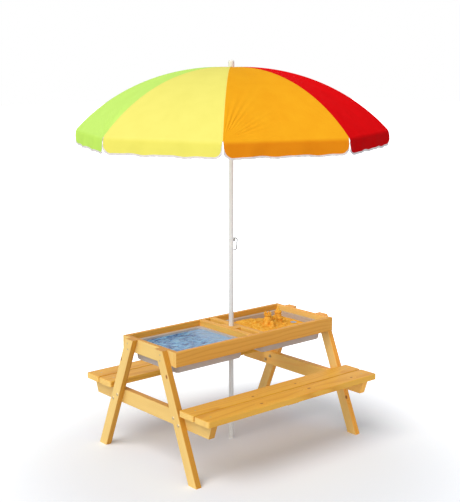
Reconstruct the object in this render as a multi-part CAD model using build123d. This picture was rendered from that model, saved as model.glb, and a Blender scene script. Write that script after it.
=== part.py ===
from build123d import *
import math
import os

# A child's picnic table with a water tub, a sand tub and a parasol.
# Millimetres. The origin is on the floor under the parasol pole.
# +X runs along the table, the front bench is on the -Y side, and +Z is up.

# Tray frame of the table top
frame_length = 900
frame_width = 370
table_height = 520
board_thickness = 20
board_height = 62
board_edge_radius = 2.5

# Middle of the frame, where the pole stands
cross_rail_thickness = 28
channel_width = 32
guide_block_length = 90
dowel_diameter = 8
dowel_length = 30
dowel_spread = 30

# Ledges that carry the tub rims
ledge_depth = 15
ledge_height = 18
ledge_screw_inset = 60

# Legs
leg_width = 48
leg_thickness = 28
leg_top_offset = 102
leg_foot_offset = 318
leg_screw_drops = (18, 43)
leg_screw_offsets = (5, -8)

# Seat beams
seat_beam_thickness = 30
seat_beam_height = 64
seat_beam_top_reach = 410
seat_beam_bottom_reach = 388

# Benches
seat_height = 303
bench_overhang = 33
bench_inner_edge = 242
plank_width = 90
plank_thickness = 25
plank_gap = 6
plank_corner_radius = 8
plank_edge_radius = 3
batten_width = 64
batten_thickness = 16
batten_inset = 30
batten_screw_spread = 30

# Countersunk wood screws
screw_head_diameter = 8
screw_shank_diameter = 4
screw_head_depth = 2.5
plank_screw_length = 40
leg_screw_length = 42
ledge_screw_length = 28
batten_screw_length = 34

# Carriage bolts through the legs and the seat beams
bolt_diameter = 6
bolt_hole_clearance = 0.4
bolt_head_diameter = 15
bolt_head_rise = 3.5
bolt_drops = (21, 44)
bolt_offsets = (-14, 9)
bolt_thread_stand = 3
nut_across_flats = 10
nut_height = 5
washer_diameter = 16
washer_thickness = 1.5

# Tubs
tub_rim_drop = 24
tub_depth = 81
tub_wall = 3
tub_rim_gap = 2
tub_end_flange = 8
tub_draft_degrees = 3
tub_corner_radius = 26
tub_rim_corner_radius = 12
tub_floor_radius = 14
water_below_rim = 9
sand_below_rim = 21
fill_gap = 0.3

# Sand heap and castle: places and sizes in the sand tub
heap_offset = (-8, -6)
heap_base_radius = 125
heap_top_radius = 66
heap_height = 14
tower_offsets = ((-37, -20), (56, 10), (12, -26))
tower_base_radii = (30, 26, 22)
tower_top_radii = (12, 13, 12)
tower_heights = (76, 60, 36)
tower_cap_radius = 4
tower_cap_height = 28

# Parasol pole
pole_diameter = 21
pole_wall = 1.2
pole_split_rise = 18
pole_above_canopy = 7
guide_clearance = 0.3
spigot_length = 100
spigot_clearance = 0.1
plug_head = 6
plug_stem = 25
plug_clearance = 0.05
cap_radius = 13
cap_wall_gap = 0.1
cap_skirt = 5
cap_rise = 24
cap_rounding = 9
cap_stem = 15

# Locking pin and its pull ring
pin_azimuth = -40.6
pin_height = 906
pin_diameter = 4
pin_hole_clearance = 0.1
pin_slot_clearance = 0.3
pin_tail = 2
pin_head_diameter = 9
pin_head_length = 3
ring_eye_diameter = 13
ring_eye_length = 5
ring_eye_clearance = 0.08
ring_wire_diameter = 5
ring_head_gap = 1
ring_reach = 15.5
ring_drop = 44
ring_end_gap = 1
ring_corner_radius = 7
ring_waist_share = 0.78

# Crown and runner, the two notched hubs of the parasol
rib_count = 8
rib_azimuth_start = 1.7
hub_radius = 26
hub_pivot_radius = 20
hub_slot_width = 4.6
eye_clearance = 0.5
crown_pivot_drop = 10
crown_height = 19
crown_top_gap = 1
hub_pin_diameter = 3
hub_pin_length = 11
runner_clearance = 0.08
runner_wall = 4.4
runner_length = 62
runner_flange_height = 16

# Ribs and stretchers
rib_thickness = 4
rib_depth = 5
rib_eye_radius = 4
rib_fold_degrees = 62
rib_end_inset = 7
rib_tip_radius = 3
rib_below_canopy = 8
stretcher_share = 0.452
rib_lug_drop = 7
pivot_clearance = 0.05
fork_cheek = 1.5
fork_clearance = 0.2
fork_length = 22
rivet_head = 1
rivet_head_radius = 3

# Canopy
canopy_radius = 664
canopy_top_height = 1645
canopy_rise_share = 0.3916
canopy_arc_share = 1.1325
fabric_thickness = 1.2
canopy_pole_gap = 0.3
valance_depth = 65
valance_corner_radius = 18
valance_gap = 3

# One overrun that serves every cut
cut_overrun = 5

side_names = {-1: "left", 1: "right"}
row_names = {-1: "front", 1: "back"}

# Values that follow from the sizes above
half_length = frame_length / 2
bench_length = frame_length + 2 * bench_overhang
half_width = frame_width / 2
inner_half_length = half_length - board_thickness
inner_half_width = half_width - board_thickness
board_middle = table_height - board_height / 2
cross_rail_inner = channel_width / 2
cross_rail_outer = cross_rail_inner + cross_rail_thickness
leg_outer = half_length + leg_thickness
leg_lean = math.atan2(leg_foot_offset - leg_top_offset, table_height)
leg_level_width = leg_width / math.cos(leg_lean)
beam_top = seat_height - plank_thickness
beam_bottom = beam_top - seat_beam_height
beam_inner = half_length - seat_beam_thickness
plank_step = plank_width + plank_gap
bench_outer_edge = bench_inner_edge + plank_width + plank_step
rim_height = table_height - tub_rim_drop
ledge_top = rim_height - tub_wall
tub_centre_x = (cross_rail_outer + inner_half_length) / 2
tub_rim_length = inner_half_length - cross_rail_outer - 2 * tub_rim_gap
tub_rim_width = 2 * (inner_half_width - tub_rim_gap)
tub_body_length = tub_rim_length - 2 * tub_end_flange
tub_body_width = 2 * (inner_half_width - ledge_depth - tub_rim_gap)
pole_radius = pole_diameter / 2
pole_bore_radius = pole_radius - pole_wall
spigot_radius = pole_bore_radius - spigot_clearance
pole_split_height = pin_height + pole_split_rise
spigot_bottom = pole_split_height - spigot_length
canopy_rim_height = canopy_top_height - canopy_rise_share * canopy_radius
canopy_arc_radius = canopy_arc_share * canopy_radius
stretcher_reach = stretcher_share * canopy_radius
pole_top_height = canopy_top_height + pole_above_canopy
cap_top_height = pole_top_height + cap_rise
crown_pivot_height = canopy_top_height - crown_pivot_drop
fold_slice = 360 / rib_count
gore_half_angle = math.radians(fold_slice / 2)


def leg_centre(height):
    """Distance of a leg's centre line from the table's middle at a height."""
    share = 1 - height / table_height
    return leg_top_offset + (leg_foot_offset - leg_top_offset) * share


def rounded_board(size_x, size_y, size_z, grain, radius):
    """A planed board with its four long edges eased."""
    body = Box(size_x, size_y, size_z)
    return fillet(body.edges().filter_by(grain), radius)


def along_x(shape, direction):
    """Turn a shape whose axis is Z so that its +Z points along +X or -X."""
    return Rot(0, 90 * direction, 0) * shape


def wood_screw(length):
    """A countersunk screw that hangs down from its head's top at the origin."""
    profile = Polyline(
        (0, 0),
        (screw_head_diameter / 2, 0),
        (screw_shank_diameter / 2, -screw_head_depth),
        (screw_shank_diameter / 2, -length),
        (0, -length),
        close=True,
    )
    return revolve(Plane.XZ * make_face(profile), Axis.Z)


def cut_all(body, tools):
    """Cut a list of shapes out of a body."""
    for tool in tools:
        body = body - tool
    return body


def end_dowels():
    """Dowels that join the end boards to the long rails."""
    dowels = []
    for side in side_names:
        for row in row_names:
            for level in (-1, 1):
                x = side * (half_length - board_thickness / 2)
                y = row * inner_half_width
                z = board_middle + level * dowel_spread / 2
                peg = Rot(90, 0, 0) * Cylinder(dowel_diameter / 2, dowel_length)
                dowels.append(Pos(x, y, z) * peg)
    return dowels


def cross_dowels():
    """Dowels that join the two cross rails to the long rails."""
    dowels = []
    for side in side_names:
        for row in row_names:
            for level in (-1, 1):
                x = side * (cross_rail_inner + cross_rail_thickness / 2)
                y = row * inner_half_width
                z = board_middle + level * dowel_spread / 2
                peg = Rot(90, 0, 0) * Cylinder(dowel_diameter / 2, dowel_length)
                dowels.append(Pos(x, y, z) * peg)
    return dowels


def leg_screws(side, row):
    """Two screws from a leg's outer face into the end board."""
    screws = []
    for drop, offset in zip(leg_screw_drops, leg_screw_offsets):
        height = table_height - drop
        y = row * (leg_centre(height) + offset)
        screws.append(Pos(side * leg_outer, y, height) * along_x(wood_screw(leg_screw_length), side))
    return screws


def plank_rows():
    """Middle of each plank across the table, with its name."""
    rows = []
    for row, row_name in row_names.items():
        for place, place_name in enumerate(("inner", "outer")):
            middle = bench_inner_edge + plank_width / 2 + place * plank_step
            rows.append((row * middle, row_name + "_bench_" + place_name + "_plank"))
    return rows


def plank_screws(middle_y):
    """Screws from a plank's top into the two seat beams."""
    screws = []
    for side in side_names:
        x = side * (half_length - seat_beam_thickness / 2)
        screws.append(Pos(x, middle_y, seat_height) * wood_screw(plank_screw_length))
    return screws


def batten_screws(middle_y):
    """Screws from below through the batten into a plank."""
    screws = []
    turned = Rot(180, 0, 0) * wood_screw(batten_screw_length)
    for side in side_names:
        x = side * batten_screw_spread / 2
        screws.append(Pos(x, middle_y, beam_top - batten_thickness) * turned)
    return screws


def ledge_screws(side, row):
    """Screws from a ledge's inner face into the long rail."""
    screws = []
    for x in (cross_rail_outer + ledge_screw_inset, inner_half_length - ledge_screw_inset):
        y = row * (inner_half_width - ledge_depth)
        z = ledge_top - ledge_height / 2
        turned = Rot(90 * row, 0, 0) * wood_screw(ledge_screw_length)
        screws.append(Pos(side * x, y, z) * turned)
    return screws


def bolt_places(side, row):
    """Centres of the two bolts of one leg, on the leg's outer face."""
    places = []
    for drop, offset in zip(bolt_drops, bolt_offsets):
        height = beam_top - drop
        places.append((side * leg_outer, row * (leg_centre(height) + offset), height))
    return places


def bolt_holes(side, row):
    """Clearance holes through a leg and its seat beam."""
    length = 2 * (leg_thickness + seat_beam_thickness + cut_overrun)
    hole = Cylinder((bolt_diameter + bolt_hole_clearance) / 2, length)
    return [Pos(*place) * along_x(hole, side) for place in bolt_places(side, row)]


def carriage_bolt():
    """A domed bolt: the head's flat side is at the origin and +Z is outwards."""
    head_radius = bolt_head_diameter / 2
    shank_radius = bolt_diameter / 2
    grip = leg_thickness + seat_beam_thickness + washer_thickness + nut_height
    tail = -grip - bolt_thread_stand
    dome_radius = (head_radius ** 2 + bolt_head_rise ** 2) / (2 * bolt_head_rise)
    shoulder = math.asin(head_radius / dome_radius) / 2
    dome_centre = bolt_head_rise - dome_radius
    on_dome = (dome_radius * math.sin(shoulder), dome_centre + dome_radius * math.cos(shoulder))
    dome = ThreePointArc((0, bolt_head_rise), on_dome, (head_radius, 0))
    below = Polyline((head_radius, 0), (shank_radius, 0), (shank_radius, tail), (0, tail))
    profile = make_face(dome + below + Line((0, tail), (0, bolt_head_rise)))
    return revolve(Plane.XZ * profile, Axis.Z)


def hex_nut():
    """A nut that stands on the origin, its bore along Z."""
    outer = extrude(RegularPolygon(nut_across_flats / 2, 6, major_radius=False), nut_height)
    bore = Cylinder(bolt_diameter / 2, 2 * (nut_height + cut_overrun))
    return outer - bore


def flat_washer():
    """A washer that stands on the origin."""
    hole_radius = (bolt_diameter + bolt_hole_clearance) / 2
    ring = Circle(washer_diameter / 2) - Circle(hole_radius)
    return extrude(ring, washer_thickness)


def make_frame():
    """The tray frame: rails, end boards, cross rails, guide block and ledges."""
    parts = {}
    pegs = end_dowels() + cross_dowels()
    for row, row_name in row_names.items():
        rail = rounded_board(frame_length, board_thickness, board_height, Axis.X, board_edge_radius)
        rail = Pos(0, row * (half_width - board_thickness / 2), board_middle) * rail
        near = [peg for peg in pegs if peg.center().Y * row > 0]
        near = near + ledge_screws(-1, row) + ledge_screws(1, row)
        parts[row_name + "_rail"] = cut_all(rail, near)
    for side, side_name in side_names.items():
        board = rounded_board(
            board_thickness, 2 * inner_half_width, board_height, Axis.Y, board_edge_radius
        )
        board = Pos(side * (half_length - board_thickness / 2), 0, board_middle) * board
        near = [peg for peg in end_dowels() if peg.center().X * side > 0]
        near = near + leg_screws(side, -1) + leg_screws(side, 1)
        parts[side_name + "_end_board"] = cut_all(board, near)
        cross = rounded_board(
            cross_rail_thickness, 2 * inner_half_width, board_height, Axis.Y, board_edge_radius
        )
        cross = Pos(side * (cross_rail_inner + cross_rail_thickness / 2), 0, board_middle) * cross
        near = [peg for peg in cross_dowels() if peg.center().X * side > 0]
        parts[side_name + "_cross_rail"] = cut_all(cross, near)
    block = rounded_board(channel_width, guide_block_length, board_height, Axis.X, board_edge_radius)
    bore = Cylinder(pole_radius + guide_clearance, board_height + 2 * cut_overrun)
    parts["pole_guide_block"] = Pos(0, 0, board_middle) * (block - bore)
    parts["frame_dowels"] = Compound(children=pegs)
    for row, row_name in row_names.items():
        strips = []
        for side in side_names:
            strip = Box(inner_half_length - cross_rail_outer, ledge_depth, ledge_height)
            y = row * (inner_half_width - ledge_depth / 2)
            strip = Pos(side * tub_centre_x, y, ledge_top - ledge_height / 2) * strip
            strips.append(cut_all(strip, ledge_screws(side, row)))
        parts[row_name + "_ledges"] = Compound(children=strips)
    return parts


def make_leg(side, row):
    """One splayed leg, cut level at the floor and at the table top."""
    half = leg_level_width / 2
    outline = Polyline(
        (row * (leg_top_offset - half), table_height),
        (row * (leg_top_offset + half), table_height),
        (row * (leg_foot_offset + half), 0),
        (row * (leg_foot_offset - half), 0),
        close=True,
    )
    leg = extrude(Plane.YZ * make_face(outline), leg_thickness)
    long_edges = leg.edges().filter_by(lambda edge: edge.length > table_height)
    leg = fillet(long_edges, board_edge_radius)
    start = half_length if side > 0 else -leg_outer
    leg = Pos(start, 0, 0) * leg
    return cut_all(leg, leg_screws(side, row) + bolt_holes(side, row))


def make_seat_beam(side):
    """The beam that carries both benches, with its ends cut back below."""
    outline = Polyline(
        (-seat_beam_top_reach, beam_top),
        (seat_beam_top_reach, beam_top),
        (seat_beam_bottom_reach, beam_bottom),
        (-seat_beam_bottom_reach, beam_bottom),
        close=True,
    )
    beam = extrude(Plane.YZ * make_face(outline), seat_beam_thickness)
    beam = fillet(beam.edges().filter_by(Axis.Y), board_edge_radius)
    start = beam_inner if side > 0 else -half_length
    beam = Pos(start, 0, 0) * beam
    holes = bolt_holes(side, -1) + bolt_holes(side, 1)
    for middle_y, name in plank_rows():
        holes = holes + [screw for screw in plank_screws(middle_y) if screw.center().X * side > 0]
    return cut_all(beam, holes)


def make_plank(middle_y):
    """A bench plank with rounded corners and an eased top."""
    plank = Box(bench_length, plank_width, plank_thickness)
    plank = fillet(plank.edges().filter_by(Axis.Z), plank_corner_radius)
    plank = fillet(plank.edges().group_by(Axis.Z)[-1], plank_edge_radius)
    plank = Pos(0, middle_y, seat_height - plank_thickness / 2) * plank
    return cut_all(plank, plank_screws(middle_y) + batten_screws(middle_y))


def make_batten(row):
    """The batten that ties a bench's planks together under their middle."""
    length = bench_outer_edge - bench_inner_edge - 2 * batten_inset
    middle = row * (bench_inner_edge + bench_outer_edge) / 2
    batten = rounded_board(batten_width, length, batten_thickness, Axis.Y, board_edge_radius)
    batten = Pos(0, middle, beam_top - batten_thickness / 2) * batten
    holes = []
    for middle_y, name in plank_rows():
        if middle_y * row > 0:
            holes = holes + batten_screws(middle_y)
    return cut_all(batten, holes)


def make_fasteners():
    """All wood screws, carriage bolts, washers and nuts."""
    screws = []
    bolts = []
    washers = []
    nuts = []
    for middle_y, name in plank_rows():
        screws = screws + plank_screws(middle_y) + batten_screws(middle_y)
    for side in side_names:
        for row in row_names:
            screws = screws + leg_screws(side, row) + ledge_screws(side, row)
            for x, y, z in bolt_places(side, row):
                bolts.append(Pos(x, y, z) * along_x(carriage_bolt(), side))
                inner = side * beam_inner
                washers.append(Pos(inner, y, z) * along_x(flat_washer(), -side))
                seat = side * (beam_inner - washer_thickness)
                nuts.append(Pos(seat, y, z) * along_x(hex_nut(), -side))
    return {
        "wood_screws": Compound(children=screws),
        "beam_bolts": Compound(children=bolts),
        "bolt_washers": Compound(children=washers),
        "bolt_nuts": Compound(children=nuts),
    }


def tub_block(inset, depth, floor_radius):
    """The tub's drafted block, drawn in by an inset, hanging from its top at zero."""
    top = RectangleRounded(
        tub_body_length - 2 * inset, tub_body_width - 2 * inset, tub_corner_radius - inset
    )
    block = extrude(top, -depth, taper=tub_draft_degrees)
    return fillet(block.edges().group_by(Axis.Z)[0], floor_radius)


def make_tub():
    """A moulded tub with a flat rim, its rim's top at zero."""
    outer = tub_block(0, tub_depth, tub_floor_radius)
    rim = extrude(RectangleRounded(tub_rim_length, tub_rim_width, tub_rim_corner_radius), -tub_wall)
    inner = tub_block(tub_wall, tub_depth - tub_wall, tub_floor_radius - tub_wall)
    return outer + rim - inner


def tub_fill(below_rim):
    """What stands in a tub up to a level below the rim."""
    inset = tub_wall + fill_gap
    fill = tub_block(inset, tub_depth - tub_wall, tub_floor_radius - tub_wall)
    lid = Box(tub_rim_length, tub_rim_width, 2 * below_rim)
    return fill - lid


def make_sand():
    """Sand with a low heap and a few moulded towers on it."""
    sand = tub_fill(sand_below_rim)
    heap = Cone(heap_base_radius, heap_top_radius, heap_height)
    heap = Pos(*heap_offset, heap_height / 2 - sand_below_rim) * heap
    sand = sand + heap
    for place, base, top, height in zip(
        tower_offsets, tower_base_radii, tower_top_radii, tower_heights
    ):
        tower = Pos(*place, height / 2 - sand_below_rim) * Cone(base, top, height)
        sand = sand + tower
    x, y = tower_offsets[1]
    cap = Cone(tower_top_radii[1], tower_cap_radius, tower_cap_height)
    level = tower_heights[1] + tower_cap_height / 2 - sand_below_rim
    return sand + Pos(x, y, level) * cap


def make_tubs():
    """Both tubs with their fills, hung in the frame."""
    left = Pos(-tub_centre_x, 0, rim_height)
    right = Pos(tub_centre_x, 0, rim_height)
    return {
        "left_tub": left * make_tub(),
        "right_tub": right * make_tub(),
        "water_fill": left * tub_fill(water_below_rim),
        "sand_fill": right * make_sand(),
    }


def tube(outer_radius, bore_radius, bottom, top):
    """A round tube between two heights."""
    ring = Circle(outer_radius) - Circle(bore_radius)
    return Pos(0, 0, bottom) * extrude(ring, top - bottom)


def rod(radius, bottom, top):
    """A round bar between two heights."""
    return Pos(0, 0, bottom) * extrude(Circle(radius), top - bottom)


def at_pin(shape):
    """Turn a shape made along +X to the locking pin's direction, at its height."""
    return Pos(0, 0, pin_height) * Rot(0, 0, pin_azimuth) * shape


def make_pole():
    """Foot plug, lower and upper pole, and the cap on top."""
    plug_stem_radius = pole_bore_radius - plug_clearance
    plug = rod(pole_radius, 0, plug_head) + rod(plug_stem_radius, 0, plug_head + plug_stem)
    lower = tube(pole_radius, pole_bore_radius, plug_head, pole_split_height)
    slot_width = pin_diameter + 2 * pin_slot_clearance
    slot_bottom = Rot(0, 90, 0) * Cylinder(slot_width / 2, pole_diameter + 2 * cut_overrun)
    slot_height = pole_split_height - pin_height + cut_overrun
    slot = Box(pole_diameter + 2 * cut_overrun, slot_width, slot_height)
    lower = lower - at_pin(slot_bottom) - at_pin(Pos(0, 0, slot_height / 2) * slot)
    spigot_bore = spigot_radius - pole_wall
    upper = tube(pole_radius, pole_bore_radius, pole_split_height, pole_top_height)
    upper = upper + tube(pole_radius, spigot_bore, pole_split_height, pole_split_height + pole_wall)
    upper = upper + tube(spigot_radius, spigot_bore, spigot_bottom, pole_split_height)
    hole_radius = pin_diameter / 2 + pin_hole_clearance
    hole = Rot(0, 90, 0) * Cylinder(hole_radius, pole_diameter + 2 * cut_overrun)
    upper = upper - at_pin(hole)
    cap = rod(cap_radius, pole_top_height - cap_skirt, cap_top_height)
    cap = fillet(cap.edges().group_by(Axis.Z)[-1], cap_rounding)
    cap = cap - rod(pole_radius + cap_wall_gap, 0, pole_top_height)
    cap = cap + rod(plug_stem_radius, pole_top_height - cap_stem, pole_top_height)
    return {"pole_foot_plug": plug, "lower_pole": lower, "upper_pole": upper, "pole_cap": cap}


def make_lock():
    """The locking pin across the pole joint and the loop that pulls it."""
    tail = -pole_radius - pin_tail
    eye_start = pole_radius + pin_slot_clearance
    head_start = eye_start + ring_eye_length + ring_eye_clearance
    shank = Pos(tail, 0, 0) * along_x(rod(pin_diameter / 2, 0, head_start - tail), 1)
    head = Pos(head_start, 0, 0) * along_x(rod(pin_head_diameter / 2, 0, pin_head_length), 1)
    bore_radius = pin_diameter / 2 + ring_eye_clearance
    eye = along_x(tube(ring_eye_diameter / 2, bore_radius, 0, ring_eye_length), 1)
    wire_radius = ring_wire_diameter / 2
    top = pin_head_diameter / 2 + ring_head_gap + wire_radius
    path = FilletPolyline(
        (eye_start, 0, top),
        (eye_start + ring_reach, 0, top),
        (eye_start + ring_reach * ring_waist_share, 0, -ring_drop),
        (eye_start + ring_end_gap, 0, -ring_drop),
        radius=ring_corner_radius,
    )
    section = Plane(origin=(eye_start, 0, top), z_dir=(1, 0, 0)) * Circle(wire_radius)
    ring = Pos(eye_start, 0, 0) * eye + sweep(section, path=path)
    return {"lock_pin": at_pin(shank + head), "pull_ring": at_pin(ring)}


def circle_centre(start, end, radius):
    """Centre of the arc that bulges up from start to end."""
    middle_x = (start[0] + end[0]) / 2
    middle_z = (start[1] + end[1]) / 2
    chord = math.dist(start, end)
    reach = math.sqrt(radius ** 2 - (chord / 2) ** 2)
    out_x = (start[1] - end[1]) / chord
    out_z = (end[0] - start[0]) / chord
    return (middle_x - reach * out_x, middle_z - reach * out_z)


def circle_through(first, second, third):
    """Centre of the circle through three points."""
    (ax, az), (bx, bz), (cx, cz) = first, second, third
    twice_area = 2 * (ax * (bz - cz) + bx * (cz - az) + cx * (az - bz))
    a_square = ax ** 2 + az ** 2
    b_square = bx ** 2 + bz ** 2
    c_square = cx ** 2 + cz ** 2
    centre_x = a_square * (bz - cz) + b_square * (cz - az) + c_square * (az - bz)
    centre_z = a_square * (cx - bx) + b_square * (ax - cx) + c_square * (bx - ax)
    return (centre_x / twice_area, centre_z / twice_area)


def on_arc(centre, radius, angle):
    """Point of an arc at an angle from the vertical, outwards."""
    return (centre[0] + radius * math.sin(angle), centre[1] + radius * math.cos(angle))


gore_shrink = math.cos(gore_half_angle)
canopy_top = (0, canopy_top_height)
canopy_rim = (canopy_radius * gore_shrink, canopy_rim_height)
canopy_centre = circle_centre(canopy_top, canopy_rim, canopy_arc_radius)


def canopy_height_at(radius):
    """Height of the canopy's top over a rib, which a panel's middle arc sets."""
    out = radius * gore_shrink - canopy_centre[0]
    return canopy_centre[1] + math.sqrt(canopy_arc_radius ** 2 - out ** 2)


# The rib's arc, from its eye in the crown to its tip under the canopy's rim
rib_start = (hub_pivot_radius, crown_pivot_height)
rib_end_radius = canopy_radius - rib_end_inset
rib_end = (rib_end_radius, canopy_height_at(rib_end_radius) - rib_below_canopy)
rib_middle_radius = (hub_pivot_radius + rib_end_radius) / 2
rib_middle = (rib_middle_radius, canopy_height_at(rib_middle_radius) - rib_below_canopy)
rib_centre = circle_through(rib_start, rib_middle, rib_end)
rib_arc_radius = math.dist(rib_centre, rib_start)
rib_start_angle = math.asin((rib_start[0] - rib_centre[0]) / rib_arc_radius)
rib_end_angle = math.asin((rib_end[0] - rib_centre[0]) / rib_arc_radius)

# The pivot between rib and stretcher, on a lug below the rib
reach_angle = 2 * math.asin(stretcher_reach / (2 * rib_arc_radius))
pivot_angle = rib_start_angle + reach_angle
rib_pivot = on_arc(rib_centre, rib_arc_radius - rib_lug_drop, pivot_angle)
pivot_out = rib_pivot[0] - rib_start[0]
pivot_down = rib_start[1] - rib_pivot[1]
stretcher_length = math.hypot(pivot_out, pivot_down)
open_angle = math.atan2(pivot_down, pivot_out)
closed_angle = open_angle + math.radians(rib_fold_degrees)
runner_pivot_height = rib_start[1] - 2 * pivot_down
runner_travel = 2 * stretcher_length * (math.sin(closed_angle) - math.sin(open_angle))


def upright(face):
    """Extrude a radial outline by the rib's thickness, centred on its plane."""
    return extrude(Plane.XZ * face, rib_thickness / 2, both=True)


def disc(place, radius):
    """A round outline at a place of the radial plane."""
    return Pos(*place) * Circle(radius)


def make_rib():
    """A curved rib: eye, bar, stretcher lug and a rounded tip, along +X."""
    mid_angle = (rib_start_angle + rib_end_angle) / 2
    low = rib_arc_radius - rib_depth / 2
    high = rib_arc_radius + rib_depth / 2
    top = ThreePointArc(
        on_arc(rib_centre, high, rib_start_angle),
        on_arc(rib_centre, high, mid_angle),
        on_arc(rib_centre, high, rib_end_angle),
    )
    bottom = ThreePointArc(
        on_arc(rib_centre, low, rib_start_angle),
        on_arc(rib_centre, low, mid_angle),
        on_arc(rib_centre, low, rib_end_angle),
    )
    ends = Line(top @ 0, bottom @ 0) + Line(top @ 1, bottom @ 1)
    outline = make_face(top + bottom + ends)
    outline = outline + disc(rib_start, rib_eye_radius) + disc(rib_end, rib_tip_radius)
    outline = outline + disc(rib_pivot, rib_eye_radius)
    neck_middle = on_arc(rib_centre, rib_arc_radius - rib_lug_drop / 2, pivot_angle)
    neck_turn = -math.degrees(pivot_angle)
    neck = Pos(*neck_middle) * Rot(0, 0, neck_turn) * Rectangle(2 * rib_eye_radius, rib_lug_drop)
    outline = outline + neck
    hole = hub_pin_diameter / 2 + pivot_clearance
    outline = outline - disc(rib_start, hole) - disc(rib_pivot, hole)
    return upright(outline)


def make_stretcher():
    """A straight stretcher: fork and rivet at the rib, plain eye at the runner."""
    inner_end = (hub_pivot_radius, runner_pivot_height)
    length = math.dist(rib_pivot, inner_end)
    turn = math.degrees(math.atan2(rib_pivot[1] - inner_end[1], rib_pivot[0] - inner_end[0]))
    bar_length = length - fork_length
    bar = Pos(bar_length / 2, 0) * Rectangle(bar_length, rib_depth)
    bar = bar + Circle(rib_eye_radius) - Circle(hub_pin_diameter / 2 + pivot_clearance)
    bar = extrude(Plane.XZ * bar, rib_thickness / 2, both=True)
    cheek_inner = rib_thickness / 2 + fork_clearance
    cheek_outer = cheek_inner + fork_cheek
    cheek_start = bar_length - rib_eye_radius
    cheek = Pos((cheek_start + length) / 2, 0) * Rectangle(length - cheek_start, rib_depth)
    cheek = cheek + Pos(length, 0) * Circle(rib_eye_radius)
    fork = extrude(Plane.XZ * cheek, cheek_outer, both=True)
    gap_length = length + rib_eye_radius + cut_overrun - bar_length
    gap = Box(gap_length, 2 * cheek_inner, 2 * rib_depth + cut_overrun)
    fork = fork - Pos(bar_length + gap_length / 2, 0, 0) * gap
    rivet_radius = hub_pin_diameter / 2
    rivet_hole = Rot(90, 0, 0) * Cylinder(rivet_radius, 2 * (cheek_outer + cut_overrun))
    fork = fork - Pos(length, 0, 0) * rivet_hole
    rivet = Rot(90, 0, 0) * Cylinder(rivet_radius, 2 * cheek_outer)
    for way in (-1, 1):
        head = Rot(90, 0, 0) * Cylinder(rivet_head_radius, rivet_head)
        rivet = rivet + Pos(0, way * (cheek_outer + rivet_head / 2), 0) * head
    rivet = Pos(length, 0, 0) * rivet
    placed = Pos(inner_end[0], 0, inner_end[1]) * Rot(0, -turn, 0)
    return [placed * (bar + fork), placed * rivet]


def hub_slots(bottom, top, inner_radius):
    """Radial notches of a hub, one for each rib."""
    length = hub_radius - inner_radius + cut_overrun
    slots = []
    for index in range(rib_count):
        slot = Box(length, hub_slot_width, top - bottom + 2 * cut_overrun)
        slot = Pos(inner_radius + length / 2, 0, (bottom + top) / 2) * slot
        slots.append(Rot(0, 0, rib_azimuth_start + index * fold_slice) * slot)
    return slots


def make_hubs():
    """The crown with its pins, and the runner that slides on the pole."""
    notch_radius = hub_pivot_radius - rib_eye_radius - eye_clearance
    crown_top = canopy_height_at(hub_radius) - fabric_thickness - crown_top_gap
    crown_bottom = crown_top - crown_height
    crown = tube(hub_radius, pole_radius, crown_bottom, crown_top)
    crown = cut_all(crown, hub_slots(crown_bottom, crown_top, notch_radius))
    pins = []
    for index in range(rib_count):
        pin = Rot(90, 0, 0) * Cylinder(hub_pin_diameter / 2, hub_pin_length)
        pin = Pos(hub_pivot_radius, 0, crown_pivot_height) * pin
        pins.append(Rot(0, 0, rib_azimuth_start + index * fold_slice) * pin)
    crown = cut_all(crown, pins)
    bore = pole_radius + runner_clearance
    sleeve_radius = bore + runner_wall
    flange_bottom = runner_pivot_height - runner_flange_height / 2
    flange_top = runner_pivot_height + runner_flange_height / 2
    flange = tube(hub_radius, bore, flange_bottom, flange_top)
    flange = cut_all(flange, hub_slots(flange_bottom, flange_top, sleeve_radius))
    sleeve = tube(sleeve_radius, bore, flange_top - runner_length, flange_top)
    return {"crown": crown, "crown_pins": Compound(children=pins), "runner": flange + sleeve}


def make_gore():
    """One canopy panel, its middle along +X, from the pole to the valance."""
    rim_x = canopy_rim[0]
    middle_radius = canopy_radius / 2
    top_line = ThreePointArc(
        (0, canopy_top_height),
        (middle_radius * gore_shrink, canopy_height_at(middle_radius)),
        (rim_x, canopy_rim_height),
    )
    under_rim = canopy_radius - fabric_thickness
    under_line = ThreePointArc(
        (0, canopy_top_height - fabric_thickness),
        (middle_radius * gore_shrink, canopy_height_at(middle_radius) - fabric_thickness),
        (under_rim * gore_shrink, canopy_height_at(under_rim) - fabric_thickness),
    )
    ends = Line(top_line @ 0, under_line @ 0) + Line(top_line @ 1, under_line @ 1)
    strip = make_face(top_line + under_line + ends)
    half_chord = canopy_radius * math.sin(gore_half_angle)
    dome = extrude(Plane.XZ * strip, half_chord + cut_overrun, both=True)
    wedge_x = rim_x + cut_overrun
    wedge_y = wedge_x * math.tan(gore_half_angle)
    wedge = make_face(Polyline((0, 0), (wedge_x, -wedge_y), (wedge_x, wedge_y), close=True))
    dome = dome & extrude(wedge, 2 * canopy_top_height, both=True)
    flap_width = 2 * (half_chord - valance_gap)
    flap = Rectangle(flap_width, valance_depth)
    flap = fillet(flap.vertices().group_by(Axis.Y)[0], valance_corner_radius)
    flap = extrude(Plane.YZ * flap, fabric_thickness)
    flap_x = rim_x - fabric_thickness
    flap = Pos(flap_x, 0, canopy_rim_height - valance_depth / 2) * flap
    hole = Cylinder(pole_radius + canopy_pole_gap, 2 * (canopy_top_height + cut_overrun))
    return dome + flap - hole


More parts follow.
